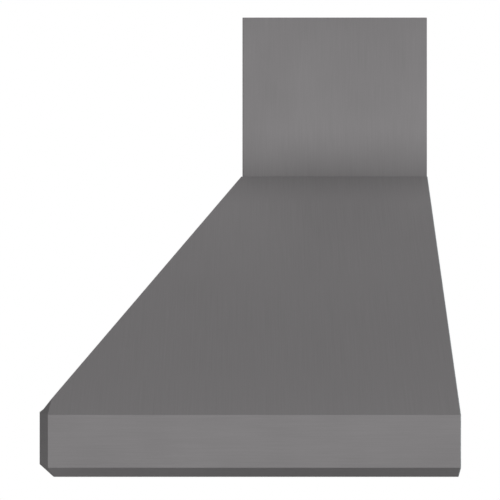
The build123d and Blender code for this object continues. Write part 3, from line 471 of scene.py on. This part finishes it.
# %% [markdown]
# ## Cast, plated and drawn metals
#
# Screws are plated with zinc in a bath, which leaves an even, slightly bluish skin. A lamp can is
# die-cast and shot-blasted, so it is covered in tiny dents. Both are a plain metal with an even,
# fine grain in all directions, so one function makes them from a grain size and a depth. Damper
# flaps and the capacitor can are aluminium that went through rollers or a drawing die: these leave
# lines, so they take the streaks of the brushed sheet in another colour.

# %% Grainy metals and drawn aluminium
# A noise bunches round a half, so this part of it is stretched over the whole scale.
noise_span = {"From Min": 0.3, "From Max": 0.7}
grain_spread = 0.06


def grainy_metal(name, pale, dark, roughness, grain_mm, depth_mm):
    """Metal with an even grain: one noise sets tone, gloss and the height of the dents."""
    material, tree, place = new_finish(name)
    grain = add(tree, "TexNoise", {"Vector": place, "Scale": 1 / (grain_mm * mm), "Detail": 3.0})
    tone = add(tree, "MapRange", {"Value": grain, **noise_span})
    colour = add(tree, "Mix", {by: tone, from_colour: linear(dark), to_colour: linear(pale)},
                 data_type="RGBA").outputs[mixed_colour]
    gloss = add(tree, "MapRange", {"Value": tone, "To Min": roughness + grain_spread,
                                   "To Max": roughness - grain_spread})
    relief = add(tree, "Bump", {"Height": grain, "Strength": 0.5, "Distance": depth_mm * mm})
    metal = add(tree, "BsdfPrincipled", {"Base Color": colour, "Metallic": 1.0, "Roughness": gloss,
                                         "Normal": relief})
    add(tree, "OutputMaterial", {"Surface": metal})
    return material


# Plating: fine crystals of a hundredth of a millimetre, drawn coarser so that they show at all.
zinc_plate = grainy_metal("zinc_plated_steel", "#b9bec3", "#a6abb0",
                          roughness=0.3, grain_mm=0.8, depth_mm=0.02)
# Blasting shot is about a millimetre across and leaves dents of about that size.
cast_metal = grainy_metal("blasted_die_casting", "#9d9fa1", "#8b8d8f",
                          roughness=0.5, grain_mm=1.2, depth_mm=0.12)
# Rolled and drawn aluminium: lines along the sheet or the can.
flap_metal = brushed_steel("mill_finish_aluminium", "#c3c4c6", "#b5b6b8",
                           roughness=0.34, streak_mm=(120, 1.4, 1.4))
can_metal = brushed_steel("drawn_aluminium_can", "#c6c6c5", "#b6b6b5",
                          roughness=0.28, streak_mm=(60, 1.0, 1.0))
print("metals: plated, cast, rolled and drawn")

# %% [markdown]
# ## Turned metal
#
# Knobs and lamp bezels are turned on a lathe, whose tool leaves fine rings round the axis, also on
# the flank. Modelled grooves would take a great many faces for marks thinner than a pixel. The
# rings follow the distance from the axis and the height, so a noise that reads only these two
# numbers draws both. Each axis is found by the sign of X, because the pieces come in pairs left and
# right of the middle. Light stretches across such rings into the well-known bow-tie glint, which
# the shader's anisotropy gives when its tangent runs round the axis.

# %% Turned rings
turned_spread = 0.05
tool_mark_mm = 0.05


def pair_axis(tree, place, axis_x, axis_y):
    """Point at the same height on the upright axis at +-axis_x, on the side that X lies on."""
    split = add(tree, "SeparateXYZ", {0: place})
    side = add(tree, "Math", {0: split.outputs["X"]}, operation="SIGN")
    middle_x = add(tree, "Math", {0: side, 1: axis_x}, operation="MULTIPLY")
    return add(tree, "CombineXYZ", {"X": middle_x, "Y": axis_y, "Z": split.outputs["Z"]})


def turned_metal(name, pale, dark, roughness, axis_x, axis_y, ring_mm):
    """Rings about two upright axes at +-axis_x: noise of (distance from the axis, height)."""
    material, tree, place = new_finish(name)
    axis = pair_axis(tree, place, axis_x, axis_y)
    spoke = add(tree, "VectorMath", {0: place, 1: axis}, operation="SUBTRACT")
    away = add(tree, "VectorMath", {0: spoke}, operation="LENGTH").outputs["Value"]
    level = add(tree, "SeparateXYZ", {0: place}).outputs["Z"]
    cut = add(tree, "CombineXYZ", {"X": away, "Y": level})
    rings = add(tree, "TexNoise", {"Vector": cut, "Scale": 1 / (ring_mm * mm), "Detail": 2.0},
                noise_dimensions="2D")
    tone = add(tree, "MapRange", {"Value": rings, **noise_span})
    colour = add(tree, "Mix", {by: tone, from_colour: linear(dark), to_colour: linear(pale)},
                 data_type="RGBA").outputs[mixed_colour]
    gloss = add(tree, "MapRange", {"Value": tone, "To Min": roughness + turned_spread,
                                   "To Max": roughness - turned_spread})
    relief = add(tree, "Bump", {"Height": rings, "Strength": 0.3, "Distance": tool_mark_mm * mm})
    around = add(tree, "VectorMath", {0: spoke, 1: (0, 0, 1)}, operation="CROSS_PRODUCT")
    metal = add(tree, "BsdfPrincipled", {"Base Color": colour, "Metallic": 1.0, "Anisotropic": 0.6,
                                         "Roughness": gloss, "Normal": relief, "Tangent": around})
    add(tree, "OutputMaterial", {"Surface": metal})
    return material


print("turned metal: relief of", tool_mark_mm, "mm")


# %% Knobs and bezels
def centre_of(node):
    """Middle of a node's box, as an array."""
    low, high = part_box(node)
    return (np.array(low) + np.array(high)) / 2


knob_x = centre_of("light_knob")[0]
lamp_low, lamp_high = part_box("lamp_bezels")
bezel_r = (lamp_high.y - lamp_low.y) / 2
lamp_x = lamp_high.x - bezel_r
# Knobs and lamps stand in one line along the sill.
lamp_y = lamp_low.y + bezel_r
# A real tool mark is some 0.1 mm wide; these are drawn half a millimetre wide to be seen.
ring_mm = 0.5
knob_metal = turned_metal("turned_satin_steel", "#a8a7a6", "#969594", 0.3, knob_x, lamp_y, ring_mm)
bezel_metal = turned_metal("turned_bezel_steel", "#b5b4b3", "#a4a3a2", 0.24, lamp_x, lamp_y, ring_mm)
print(f"turned pieces: knobs at x = {knob_x:.3f} m, lamps at x = {lamp_x:.3f} m")

# %% [markdown]
# ## Paint, rubber and plastic
#
# The impeller is dipped in black electrocoat, the motor is enamelled, the isolators are moulded
# rubber, switches and lead clips are moulded nylon and the leads have a PVC sheath. None of these
# is a metal: their colour is their own, and a clear gloss lies over it. What sets them apart is the
# gloss and the texture. Sprayed enamel has the soft waves of orange peel, a mould passes its
# spark-eroded grain on, and dust dulls all of them in patches. So one function makes them all from
# a large and a fine noise, and only the numbers change.

# %% Coated and moulded pieces
dust_mm = 28
# Gloss gained where the skin is clean, and lost where dust lies on it.
clean_gain, dust_loss = 0.05, 0.1


def coated(name, pale, dark, roughness, grain_mm, depth_mm):
    """Paint, rubber or plastic: a large noise for dust and wear, a fine one for the skin's texture."""
    material, tree, place = new_finish(name)
    dust = add(tree, "TexNoise", {"Vector": place, "Scale": 1 / (dust_mm * mm), "Detail": 4.0,
                                  "Roughness": 0.6})
    skin = add(tree, "TexNoise", {"Vector": place, "Scale": 1 / (grain_mm * mm), "Detail": 2.0})
    dull = add(tree, "MapRange", {"Value": dust, "From Min": 0.35, "From Max": 0.7})
    colour = add(tree, "Mix", {by: dull, from_colour: linear(dark), to_colour: linear(pale)},
                 data_type="RGBA").outputs[mixed_colour]
    gloss = add(tree, "MapRange", {"Value": dull, "To Min": roughness - clean_gain,
                                   "To Max": roughness + dust_loss})
    relief = add(tree, "Bump", {"Height": skin, "Strength": 0.4, "Distance": depth_mm * mm})
    body = add(tree, "BsdfPrincipled", {"Base Color": colour, "Roughness": gloss, "Normal": relief,
                                        "IOR": 1.5})
    add(tree, "OutputMaterial", {"Surface": body})
    return material


# Electrocoat is thin and smooth, with a half gloss.
wheel_coat = coated("black_electrocoat", "#333436", "#222325",
                    roughness=0.4, grain_mm=3.0, depth_mm=0.05)
# Sprayed enamel: waves some two millimetres long.
motor_enamel = coated("dark_enamel", "#3b3e42", "#2b2e31",
                      roughness=0.32, grain_mm=2.0, depth_mm=0.1)
# Rubber: dull, with a bloom that greys it.
isolator_rubber = coated("moulded_rubber", "#2a2a2a", "#1b1b1c",
                         roughness=0.75, grain_mm=0.9, depth_mm=0.08)
# Nylon: spark-eroded mould grain of half a millimetre, drawn a little coarser.
switch_nylon = coated("moulded_nylon", "#2a2b2e", "#202124",
                      roughness=0.5, grain_mm=0.8, depth_mm=0.06)
# PVC sheath: extruded, so nearly smooth.
lead_pvc = coated("extruded_pvc", "#6a6c6f", "#5b5d60",
                  roughness=0.42, grain_mm=4.0, depth_mm=0.04)
# Printing ink: a thin dull film.
dial_ink = coated("printed_ink", "#3f4042", "#37383a",
                  roughness=0.6, grain_mm=0.8, depth_mm=0.01)
print("coated: electrocoat, enamel, rubber, nylon, PVC and ink")

# %% [markdown]
# ## The lamp glass
#
# The lens is pressed glass with a frosted face and concentric prism rings, which spread the light
# of the small chip behind it. The rings could be modelled, but they are so shallow that a bump
# gives the same glints: a sine of the distance from the lamp's axis. The chip's yellow phosphor
# glimmers through the middle of such a lens even when the lamp is off, so the glass is tinted
# there.

# %% Frosted lens
prism_mm = 2.4
prism_depth_mm = 0.15
frost_grain_mm = 0.8
chip_mm = 9
chip_core_mm = 3.6


def frosted_lens(name):
    """Pressed glass with rings: height is the sine of the distance from the axis of each lamp."""
    material, tree, place = new_finish(name)
    axis = pair_axis(tree, place, lamp_x, lamp_y)
    away = add(tree, "VectorMath", {0: place, 1: axis}, operation="DISTANCE").outputs["Value"]
    wave = add(tree, "Math", {0: away, 1: 2 * np.pi / (prism_mm * mm)}, operation="MULTIPLY")
    wave = add(tree, "Math", {0: wave}, operation="SINE")
    chip = add(tree, "MapRange", {"Value": away, "From Min": chip_core_mm * mm, "From Max": chip_mm * mm,
                                  "To Min": 1.0, "To Max": 0.0}, interpolation_type="SMOOTHSTEP")
    colour = add(tree, "Mix", {by: chip, from_colour: linear("#f2f1ec"), to_colour: linear("#ead9a0")},
                 data_type="RGBA").outputs[mixed_colour]
    frost = add(tree, "TexNoise", {"Vector": place, "Scale": 1 / (frost_grain_mm * mm), "Detail": 2.0})
    gloss = add(tree, "MapRange", {"Value": frost, **noise_span, "To Min": 0.3, "To Max": 0.45})
    relief = add(tree, "Bump", {"Height": wave, "Strength": 0.5, "Distance": prism_depth_mm * mm})
    glass = add(tree, "BsdfPrincipled", {"Base Color": colour, "Roughness": gloss, "Normal": relief,
                                         "IOR": 1.5, "Transmission Weight": 0.55})
    add(tree, "OutputMaterial", {"Surface": glass})
    return material


lens_glass = frosted_lens("frosted_pressed_glass")
print("lens: prism rings every", prism_mm, "mm")

# %% [markdown]
# ## A finish for every node
#
# The record that came with the frame names a material slot for every node. Each node could be
# dressed by hand, but most take the finish of their slot, so a table of slots is enough. A few
# share a slot but lie another way round, so that their streaks must run along another axis; these
# are named one by one.

# %% Give each node its finish
finishes = {
    "shell_steel": cover_steel, "tray_steel": tray_steel, "filter_steel": filter_steel,
    "spring_steel": spring_steel, "galvanised_steel": zinc_sheet, "zinc_screws": zinc_plate,
    "damper_aluminium": flap_metal, "shaft_steel": shaft_steel, "wheel_paint": wheel_coat,
    "motor_paint": motor_enamel, "capacitor_can": can_metal, "isolator_rubber": isolator_rubber,
    "lamp_body": cast_metal, "lens_glass": lens_glass, "bezel_steel": bezel_metal,
    "switch_plastic": switch_nylon, "knob_steel": knob_metal, "lead_sheath": lead_pvc,
}
by_node = {
    "lip_band": band_steel, "left_side_panel": side_steel, "right_side_panel": side_steel,
    "front_panel": front_steel, "right_rail": rail_steel, "left_rail": rail_steel,
    "filter_divider": rail_steel, "fan_spindle": spindle_steel, "light_spindle": spindle_steel,
}
subparts = frame["record"]["subparts"]
for part in subparts:
    mesh = frame["nodes"][part["node"]].data
    mesh.materials.clear()
    mesh.materials.append(by_node.get(part["node"], finishes[part["material_slot"]]))
print("dressed:", len(subparts), "nodes,", len(by_node), "of them by name")

# %% [markdown]
# ## Screws with a cross recess
#
# The sill, the rails and the lid of the junction box are held by small pan-head screws. On the
# real hood these are pressed from wire: a low dome with a cross stamped into it. A cross could be
# cut from a dome with a Boolean modifier, which leaves ragged faces. Here the head is one surface
# of revolution on a grid of distance and angle, and the two arms of the cross are sunk into its
# height. Nobody lines screws up, so each copy is turned on by the golden angle.

# %% Copies on their seats
golden_turn = radians(137.5)


def seated(shape, centres, out):
    """Copies of a small shape on flat seats: height along the axis out, each turned a bit further."""
    out = np.array(out, float)
    across = np.roll(out, 1)
    along = np.cross(out, across)
    turn = golden_turn * np.arange(len(centres))[:, None, None]
    x, y, z = np.moveaxis(shape, -1, 0)
    u = (x * np.cos(turn) - y * np.sin(turn))[..., None]
    v = (x * np.sin(turn) + y * np.cos(turn))[..., None]
    return np.array(centres)[:, None, None, :] + u * across + v * along + z[..., None] * out


def fit(piece, body, material):
    """Dress a new piece and let it ride on a body."""
    piece.data.materials.append(material)
    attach(piece, body)
    print(piece.name, "on", body, "with", len(piece.data.polygons), "faces")


print(f"copies: each turned {np.degrees(golden_turn):.1f} degrees further")


# %% Screw heads
def within(far, limit, soft):
    """1 where a distance lies inside a limit and 0 outside it, with a soft step at the limit."""
    return np.clip((limit - np.abs(far)) / soft + 0.5, 0, 1)


def cross_head(radius, edge, crown, depth):
    """Pan head: height falls from the middle with the square of the distance, less two sunk arms."""
    dome = np.linspace(0, 1, 15)
    share = np.append(dome, [1.0, 0.0])[:, None]
    height = np.append(edge + crown * (1 - dome ** 2), [0.0, 0.0])[:, None]
    turn = np.linspace(0, 2 * np.pi, 48, endpoint=False)
    x, y = radius * share * np.cos(turn), radius * share * np.sin(turn)
    arm_reach, arm_half, soft = 0.6 * radius, 0.13 * radius, 0.06 * radius
    arm_x = within(x, arm_reach, soft) * within(y, arm_half, soft)
    arm_y = within(y, arm_reach, soft) * within(x, arm_half, soft)
    sunk = depth * np.maximum(arm_x, arm_y) * (height > 0)
    return np.stack([x, y, height - sunk], -1)


pan_head = cross_head(radius=3.4 * mm, edge=0.8 * mm, crown=0.9 * mm, depth=1.1 * mm)
print("screw head:", pan_head.shape[0], "rings of", pan_head.shape[1], "points")

# %% Screws under the sill and the rails
sill_low, sill_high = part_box("front_sill")
row_inset = 12 * mm
end_x, front_x, rear_x = 345 * mm, 150 * mm, 130 * mm
rail_x = centre_of("right_rail")[0]
rail_rows = (-420 * mm, -260 * mm, -100 * mm)
seats = [(x, sill_low.y + row_inset) for x in (-end_x, -front_x, front_x, end_x)]
seats += [(x, sill_high.y - row_inset) for x in (-end_x, -rear_x, rear_x, end_x)]
seats += [(side * rail_x, y) for side in (-1, 1) for y in rail_rows]
heads = seated(pan_head, [(x, y, sill_low.z) for x, y in seats], (0, 0, -1))
fit(surface("underside_screws", heads, wrap=True), "hood", zinc_plate)

# %% Screws in the lid of the junction box
lid_low, lid_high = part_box("junction_box_cover")
lid_inset = 8 * mm
seats = [(x, lid_low.y, z) for x in (lid_low.x + lid_inset, lid_high.x - lid_inset)
         for z in (lid_low.z + lid_inset, lid_high.z - lid_inset)]
heads = seated(pan_head, seats, (0, -1, 0))
fit(surface("lid_screws", heads, wrap=True), "hood", zinc_plate)

# %% [markdown]
# ## Rubber grommets
#
# Wherever a lead goes through sheet metal, a rubber ring keeps the edge from cutting it. Blender's
# own torus has a round section and sits about its middle. A grommet is flatter and stands on the
# sheet, so it is worked out: one angle runs round an oval section, the other round the lead.

# %% Grommets
lead_r = 3.5 * mm


def oval_ring(inner, width, height):
    """Ring about its seat: the section is an ellipse of that width and height, its foot on the seat."""
    round_section = np.linspace(0, 2 * np.pi, 17)
    round_lead = np.linspace(0, 2 * np.pi, 32, endpoint=False)
    section, turn = np.meshgrid(round_section, round_lead, indexing="ij")
    r = inner + width * (0.5 + 0.5 * np.cos(section))
    return np.stack([r * np.cos(turn), r * np.sin(turn), height * (0.5 + 0.5 * np.sin(section))], -1)


grommet = oval_ring(inner=lead_r, width=2.6 * mm, height=2.4 * mm)
box_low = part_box("junction_box")[0]
box_mid = centre_of("junction_box")
control_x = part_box("control_box")[1].x
lamp_lead_z = centre_of("lamp_leads")[2]
# The control lead leaves its box above the lamp leads.
control_lead_z = 58.2 * mm
wheel_mid = centre_of("impeller")
motor_exit_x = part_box("motor_lead")[0].x
control_seats = [(control_x, lamp_y, z) for z in (control_lead_z, lamp_lead_z)]
rings = [
    seated(grommet, [(box_low.x, box_mid[1], box_mid[2])], (-1, 0, 0)),
    seated(grommet, [(box_mid[0], box_mid[1], box_low.z)], (0, 0, -1)),
    seated(grommet, control_seats, (1, 0, 0)),
    seated(grommet, [(-control_x, lamp_y, lamp_lead_z)], (-1, 0, 0)),
    seated(grommet, [(motor_exit_x, wheel_mid[1], wheel_mid[2])], (1, 0, 0)),
]
grommets = surface("lead_grommets", np.concatenate(rings), wrap=True)
fit(grommets, "hood", isolator_rubber)

# %% [markdown]
# ## Marks round the knobs
#
# Round each knob the sill is printed: a band that grows wider for more air or more light, a tick at
# the off position, and a small picture of a fan wheel or a lamp. The sill's material could draw
# them, but pieces of their own keep a sharp edge at any distance and go along in the export. Ink is
# a film of a tenth of a millimetre. A band is a thin rectangle carried along an arc, with a width
# that grows on the way; a picture is a flat shape whose edge is a distance given for every angle.

# %% Raised lines and flat prints
ink = 0.1 * mm
down = np.array([0.0, 0.0, -1.0])


def strip(path, width, height, out):
    """Raised line: a rectangle of that width and height carried along a path, closed at both ends."""
    path = np.asarray(path, float)
    along = np.gradient(path, axis=0)
    side = np.cross(out, along / np.linalg.norm(along, axis=1, keepdims=True))
    half = np.broadcast_to(width, len(path))[:, None, None] / 2
    across = np.array([-1, 1, 1, -1])[None, :, None]
    raised = np.array([0, 0, 1, 1])[None, :, None]
    rows = path[:, None, :] + across * half * side[:, None, :] + raised * height * np.asarray(out)
    ends = np.repeat(rows[[0, -1]].mean(axis=1, keepdims=True), 4, axis=1)
    return np.concatenate([ends[:1], rows, ends[1:]])


def printed(radius, centre):
    """Flat ink shape about a centre: its edge lies at the distance radius, one value for each angle."""
    turn = np.linspace(0, 2 * np.pi, len(radius), endpoint=False)
    edge = np.stack([radius * np.cos(turn), radius * np.sin(turn), 0 * turn], -1)
    share = np.array([0, 1, 1, 0])[:, None, None]
    raised = np.array([0, 0, 1, 1])[:, None, None] * ink * down
    return np.asarray(centre) + share * edge + raised


def mark(name, shape):
    """Put a printed shape on the sill."""
    fit(surface(name, shape, wrap=True), "hood", dial_ink)


print(f"ink: a film of {ink / mm} mm")

# %% Dials
dial_r = 24.5 * mm
dial_steps = 64
off_turn = -np.pi / 2
band_from, band_to = radians(22), radians(270)
thin_mm, thick_mm = 0.5, 3.4
tick_half, tick_width = 2 * mm, 1.0 * mm
turns = off_turn + np.linspace(band_from, band_to, dial_steps)
band_widths = np.linspace(thin_mm, thick_mm, dial_steps) * mm
for control, side in (("fan", -1), ("light", 1)):
    middle = np.array([side * knob_x, lamp_y, sill_low.z])
    arc = middle + dial_r * np.stack([np.cos(turns), np.sin(turns), 0 * turns], -1)
    mark(control + "_dial_band", strip(arc, band_widths, ink, down))
    tick = middle + np.array([[0, -dial_r + far, 0] for far in (tick_half, 0, -tick_half)])
    mark(control + "_off_tick", strip(tick, tick_width, ink, down))

# %% Pictures of a fan wheel and a lamp
picture_offset = 36 * mm
picture_y = lamp_y - picture_offset
blade_r, hub_share, blade_power = 4.6 * mm, 0.22, 0.8
# Three blades: the distance swells three times in a full turn.
blade_turn = 1.5 * np.linspace(0, 2 * np.pi, 96, endpoint=False)
blades = blade_r * (hub_share + (1 - hub_share) * np.abs(np.cos(blade_turn)) ** blade_power)
mark("fan_picture", printed(blades, (-knob_x, picture_y, sill_low.z)))
disc_r = 2.0 * mm
lamp_middle = np.array([knob_x, picture_y, sill_low.z])
mark("lamp_picture", printed(np.full(48, disc_r), lamp_middle))
beam_width = 0.7 * mm
beam_places = [2.9 * mm, 3.7 * mm, 4.5 * mm]
beam_turns = np.arange(8) * np.pi / 4
beams = np.stack([np.cos(beam_turns), np.sin(beam_turns), 0 * beam_turns], -1)
beam_paths = [lamp_middle + np.outer(beam_places, beam) for beam in beams]
mark("lamp_picture_beams", np.stack([strip(path, beam_width, ink, down) for path in beam_paths]))

# %% [markdown]
# ## Rivets and corner seams of the filters
#
# A baffle filter is a folded frame with its corners mitred, and the lower row of baffles is riveted
# to it at both ends. The rivets are blind ones: a low dome with a dimple where the pin broke off. A
# mitre is a hairline gap that no light gets into, drawn as a dark line. The filter lies at a slope,
# where places are awkward to work out. So both are worked out on a filter that lies flat with its
# hinge pins at the origin, and then tipped to where the frame carries it. They ride on the filter's
# body, so they turn with it when it swings down.

# %% Filter fittings
filter_slope = radians(-4)
filter_half = 11 * mm
front_border, rear_border, side_border = 24 * mm, 14 * mm, 12 * mm
filter_tail = 20 * mm
swing = next(joint for joint in frame["joints"] if joint["name"] == "right_filter_swing")
pivot = np.array([0.0, swing["pos_m"][1], swing["pos_m"][2]])


def tipped(points):
    """Flat filter to its place: a turn by the slope about X, then a shift to the hinge pins."""
    c, s = np.cos(filter_slope), np.sin(filter_slope)
    turn = np.array([[1, 0, 0], [0, c, -s], [0, s, c]])
    return points @ turn.T + pivot


def blind_rivet(radius, height, dimple):
    """Low dome: half an ellipse turned about its axis, less a dimple that fades as a bell curve."""
    dimple_reach = 0.22
    share = np.append(np.linspace(0, 1, 10), 0.0)
    rise = height * np.sqrt(1 - share ** 2) - dimple * np.exp(-(share / dimple_reach) ** 2)
    rise[-1] = 0.0
    turn = np.linspace(0, 2 * np.pi, 20, endpoint=False)
    r = radius * share[:, None]
    return np.stack([r * np.cos(turn), r * np.sin(turn), rise[:, None] + 0 * turn], -1)


rivet = blind_rivet(radius=2.6 * mm, height=1.0 * mm, dimple=0.55 * mm)
print(f"filters: hinge pins at y = {pivot[1]:.3f} m and z = {pivot[2]:.3f} m")

# %% Rivets and seams
pin = 6 * mm
slat_pitch, slats = 52 * mm, 6
front_inset, rear_inset = 6 * mm, 4 * mm
seam_width, seam_rise = 0.35 * mm, 0.06 * mm
for body in ("right_filter", "left_filter"):
    low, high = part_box(f"filter_{body.split('_')[0]}_frame")
    x0, x1 = low.x + pin, high.x - pin
    slat_x = (x0 + x1) / 2 + slat_pitch * (np.arange(slats) - (slats - 1) / 2)
    reach = (pivot[1] - low.y - filter_half * abs(np.sin(filter_slope))) / np.cos(filter_slope)
    seats = [(x, y, -filter_half) for y in (front_inset - reach, filter_tail - rear_inset) for x in slat_x]
    rivets = tipped(seated(rivet, seats, down))
    fit(surface(body + "_rivets", rivets, wrap=True), body, zinc_plate)
    lines = []
    for x, dx in ((x0, side_border), (x1, -side_border)):
        for y, dy in ((-reach, front_border), (filter_tail, -rear_border)):
            mitre = np.linspace((x, y, -filter_half), (x + dx, y + dy, -filter_half), 9)[1:-1]
            lines.append(strip(mitre, seam_width, seam_rise, down))
    seams = surface(body + "_corner_seams", tipped(np.stack(lines)), wrap=True)
    fit(seams, body, dial_ink)
